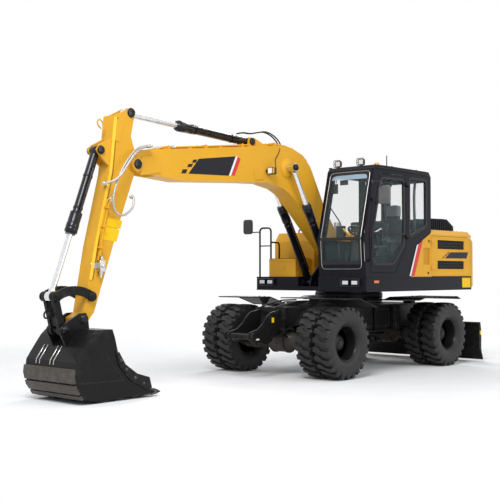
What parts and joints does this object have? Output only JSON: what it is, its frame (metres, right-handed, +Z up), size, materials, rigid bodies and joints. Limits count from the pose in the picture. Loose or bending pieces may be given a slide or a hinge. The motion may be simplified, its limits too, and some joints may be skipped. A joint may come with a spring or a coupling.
{
  "type": "wheeled excavator",
  "caption": "Wheeled excavator with twin tyres, a slewing upper structure with cab and engine house, boom, arm, bucket and a rear dozer blade, all jointed.",
  "frame": {"origin": "on the ground under the middle of the machine's box", "axes": "+X forward towards the bucket, +Y to the machine's left (the cab's side), +Z up"},
  "size_m": [8.3418, 3.12, 3.67],
  "materials": {
    "paint_yellow": "semi-gloss warm yellow machine paint",
    "paint_frame": "satin black paint of the running gear and bucket",
    "paint_black": "satin black paint",
    "rim_paint": "satin black wheel paint",
    "steel_dark": "dark worn steel",
    "chrome": "bright plated rod",
    "tyre": "matte black rubber",
    "glass": "clear slightly tinted glass",
    "plastic_black": "matte black moulded plastic",
    "hose": "silver-grey spiral guard over a hydraulic hose",
    "fabric": "dark woven seat cover"
  },
  "bodies": {
    "chassis": {"chassis": "paint_frame", "turntable": "paint_frame", "transmission": "paint_frame", "front_bracket": "paint_frame", "fenders_front": "paint_frame", "fenders_rear": "paint_frame", "front_axle": "paint_frame", "rear_axle": "paint_frame"},
    "knuckle_left": {"knuckle_left": "paint_frame"},
    "knuckle_right": {"knuckle_right": "paint_frame"},
    "wheels_front_left": {"tyres_front_left": "tyre", "wheel_front_left": "rim_paint"},
    "wheels_front_right": {"tyres_front_right": "tyre", "wheel_front_right": "rim_paint"},
    "wheels_rear_left": {"tyres_rear_left": "tyre", "wheel_rear_left": "rim_paint"},
    "wheels_rear_right": {"tyres_rear_right": "tyre", "wheel_rear_right": "rim_paint"},
    "blade": {"blade": "paint_frame"},
    "blade_barrels": {"blade_barrels": "paint_black"},
    "blade_rods": {"blade_rods": "chrome"},
    "house": {"house_frame": "paint_black", "counterweight": "paint_yellow", "engine_house": "paint_yellow", "side_panel_left": "paint_yellow", "engine_block": "steel_dark", "fuel_tank": "paint_yellow", "tool_box": "paint_yellow", "front_box": "paint_black", "handrail_right": "paint_black", "mirror_right": "plastic_black", "cab": "paint_black", "cab_glass": "glass", "seat": "fabric", "steering_column": "plastic_black", "roof_fittings": "plastic_black", "mirror_left": "plastic_black"},
    "hood_lid": {"hood_lid": "paint_black"},
    "engine_door_left": {"engine_door_left": "paint_yellow"},
    "engine_door_right": {"engine_door_right": "paint_yellow"},
    "cab_door": {"cab_door": "paint_black", "door_glass": "glass"},
    "boom": {"boom": "paint_yellow", "arm_hose_long": "hose", "arm_hose_short": "hose"},
    "boom_barrels": {"boom_barrels": "paint_black"},
    "boom_rods": {"boom_rods": "chrome"},
    "arm": {"arm": "paint_yellow"},
    "arm_barrel": {"arm_barrel": "paint_black"},
    "arm_rod": {"arm_rod": "chrome"},
    "bucket": {"bucket": "paint_frame"},
    "bucket_barrel": {"bucket_barrel": "paint_black"},
    "bucket_rod": {"bucket_rod": "chrome"},
    "guide_links": {"guide_links": "paint_frame"},
    "bucket_link": {"bucket_link": "paint_frame"}
  },
  "joints": [
    {"name": "steer_left", "type": "hinge", "parent": "chassis", "child": "knuckle_left", "pos_m": [-0.175, 0.56, 0.5275], "axis": [0, 0, 1], "range_deg": [-30, 30]},
    {"name": "steer_right", "type": "hinge", "parent": "chassis", "child": "knuckle_right", "pos_m": [-0.175, -0.56, 0.5275], "axis": [0, 0, 1], "range_deg": [-30, 30]},
    {"name": "spin_front_left", "type": "hinge", "parent": "knuckle_left", "child": "wheels_front_left", "pos_m": [-0.175, 0.948, 0.5275], "axis": [0, 1, 0], "continuous": true},
    {"name": "spin_front_right", "type": "hinge", "parent": "knuckle_right", "child": "wheels_front_right", "pos_m": [-0.175, -0.948, 0.5275], "axis": [0, 1, 0], "continuous": true},
    {"name": "spin_rear_left", "type": "hinge", "parent": "chassis", "child": "wheels_rear_left", "pos_m": [-3.025, 0.948, 0.5275], "axis": [0, 1, 0], "continuous": true},
    {"name": "spin_rear_right", "type": "hinge", "parent": "chassis", "child": "wheels_rear_right", "pos_m": [-3.025, -0.948, 0.5275], "axis": [0, 1, 0], "continuous": true},
    {"name": "blade_lift", "type": "hinge", "parent": "chassis", "child": "blade", "pos_m": [-3.62, 0, 0.64], "axis": [0, -1, 0], "range_deg": [-35, 10]},
    {"name": "blade_barrels_tilt", "type": "hinge", "parent": "chassis", "child": "blade_barrels", "pos_m": [-3.615, 0, 0.94], "axis": [0, -1, 0], "range_deg": [-20, 6]},
    {"name": "blade_rods_slide", "type": "slide", "parent": "blade_barrels", "child": "blade_rods", "axis": [-0.6808, 0, -0.7324], "range_m": [-0.15, 0.05]},
    {"name": "slew", "type": "hinge", "parent": "chassis", "child": "house", "pos_m": [-1.87, 0, 1.217], "axis": [0, 0, 1], "continuous": true},
    {"name": "hood_lid_hinge", "type": "hinge", "parent": "house", "child": "hood_lid", "pos_m": [-2.878, 0, 2.27], "axis": [0, 1, 0], "range_deg": [0, 60]},
    {"name": "engine_door_left_hinge", "type": "hinge", "parent": "house", "child": "engine_door_left", "pos_m": [-2.45, 1.254, 1.8], "axis": [0, 0, 1], "range_deg": [-75, 0]},
    {"name": "engine_door_right_hinge", "type": "hinge", "parent": "house", "child": "engine_door_right", "pos_m": [-2.45, -1.254, 1.8], "axis": [0, 0, -1], "range_deg": [-75, 0]},
    {"name": "cab_door_hinge", "type": "hinge", "parent": "house", "child": "cab_door", "pos_m": [-1.724, 1.262, 2], "axis": [0, 0, 1], "range_deg": [0, 165]},
    {"name": "boom_lift", "type": "hinge", "parent": "house", "child": "boom", "pos_m": [-1.53, 0, 1.75], "axis": [0, 1, 0], "range_deg": [-42, 45]},
    {"name": "boom_barrels_tilt", "type": "hinge", "parent": "house", "child": "boom_barrels", "pos_m": [-1.14, 0, 1.4], "axis": [0, 1, 0], "range_deg": [-42, 45]},
    {"name": "boom_rods_slide", "type": "slide", "parent": "boom_barrels", "child": "boom_rods", "axis": [0.513, 0, 0.8584], "range_m": [-0.4, 0.36]},
    {"name": "arm_swing", "type": "hinge", "parent": "boom", "child": "arm", "pos_m": [2.9, 0, 2.94], "axis": [0, -1, 0], "range_deg": [-59, 61]},
    {"name": "arm_barrel_tilt", "type": "hinge", "parent": "boom", "child": "arm_barrel", "pos_m": [0.64, 0, 3.475], "axis": [0, -1, 0], "range_deg": [-3, 3]},
    {"name": "arm_rod_slide", "type": "slide", "parent": "arm_barrel", "child": "arm_rod", "axis": [0.9986, 0, 0.0538], "range_m": [-0.64, 0.62]},
    {"name": "bucket_curl", "type": "hinge", "parent": "arm", "child": "bucket", "pos_m": [3.74, 0, 0.983], "axis": [0, -1, 0], "range_deg": [-87, 86]},
    {"name": "guide_links_swing", "type": "hinge", "parent": "arm", "child": "guide_links", "pos_m": [3.6, 0, 1.256], "axis": [0, -1, 0], "range_deg": [-52, 52]},
    {"name": "bucket_link_swing", "type": "hinge", "parent": "bucket", "child": "bucket_link", "pos_m": [4.015, 0, 0.856], "axis": [0, -1, 0], "range_deg": [-75, 65]},
    {"name": "bucket_barrel_tilt", "type": "hinge", "parent": "arm", "child": "bucket_barrel", "pos_m": [3.45, 0, 3.075], "axis": [0, -1, 0], "range_deg": [-6, 6]},
    {"name": "bucket_rod_slide", "type": "slide", "parent": "bucket_barrel", "child": "bucket_rod", "axis": [0.3466, 0, -0.938], "range_m": [-0.47, 0.42]}
  ],
  "couplings": [
    {"joint": "steer_right", "follows": "steer_left", "ratio": 1},
    {"joint": "blade_barrels_tilt", "follows": "blade_lift", "ratio": 0.55},
    {"joint": "blade_rods_slide", "follows": "blade_lift", "m_per_rad": 0.2256},
    {"joint": "boom_barrels_tilt", "follows": "boom_lift", "ratio": 0.93},
    {"joint": "boom_rods_slide", "follows": "boom_lift", "m_per_rad": -0.4901},
    {"joint": "arm_barrel_tilt", "follows": "arm_swing", "ratio": 0.03},
    {"joint": "arm_rod_slide", "follows": "arm_swing", "m_per_rad": -0.5892},
    {"joint": "guide_links_swing", "follows": "bucket_curl", "ratio": 0.56},
    {"joint": "bucket_link_swing", "follows": "bucket_curl", "ratio": -0.62},
    {"joint": "bucket_barrel_tilt", "follows": "bucket_curl", "ratio": 0.04},
    {"joint": "bucket_rod_slide", "follows": "bucket_curl", "m_per_rad": -0.25}
  ]
}
